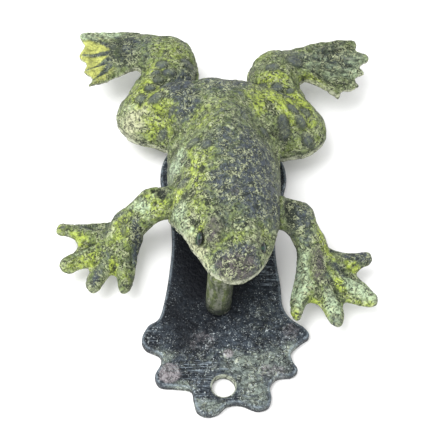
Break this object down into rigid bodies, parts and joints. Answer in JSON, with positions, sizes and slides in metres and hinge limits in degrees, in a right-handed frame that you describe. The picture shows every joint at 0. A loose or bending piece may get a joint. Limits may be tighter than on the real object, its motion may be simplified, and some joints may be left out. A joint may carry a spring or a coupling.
{
  "type": "door knocker",
  "caption": "Cast frog door knocker: a hollow leaping frog hinged over a lobed backplate, with a striker peg under its chin and a screw hole near each end of the plate.",
  "frame": {"origin": "on the plate's back face, midway between the two screw holes", "axes": "+Z out of the door, +Y up the door along the line of the screw holes towards the hinge, +X across"},
  "size_m": [0.1078, 0.1452, 0.0396],
  "materials": {
    "plate_bronze": "dark slate patina, cast grain, file marks",
    "frog_bronze": "verdigris in the hollows, dark slate on the high spots",
    "arm_bronze": "verdigris with rubbed knuckles",
    "peg_bronze": "smooth turned rod with olive patina",
    "raw_bronze": "dull brown cast metal",
    "pin_brass": "drawn rod, worn",
    "eye_bead": "polished black-green bead"
  },
  "bodies": {
    "door_plate": {"backplate": "plate_bronze", "hinge_pin": "pin_brass"},
    "frog": {"frog_body": "frog_bronze", "hinge_lug": "raw_bronze", "arm_left": "arm_bronze", "arm_right": "arm_bronze", "striker_peg": "peg_bronze", "eye_left": "eye_bead", "eye_right": "eye_bead"}
  },
  "joints": [
    {"name": "frog_swing", "type": "hinge", "parent": "door_plate", "child": "frog", "pos_m": [0, 0.056, 0.012], "axis": [-1, 0, 0], "range_deg": [0, 18]}
  ]
}
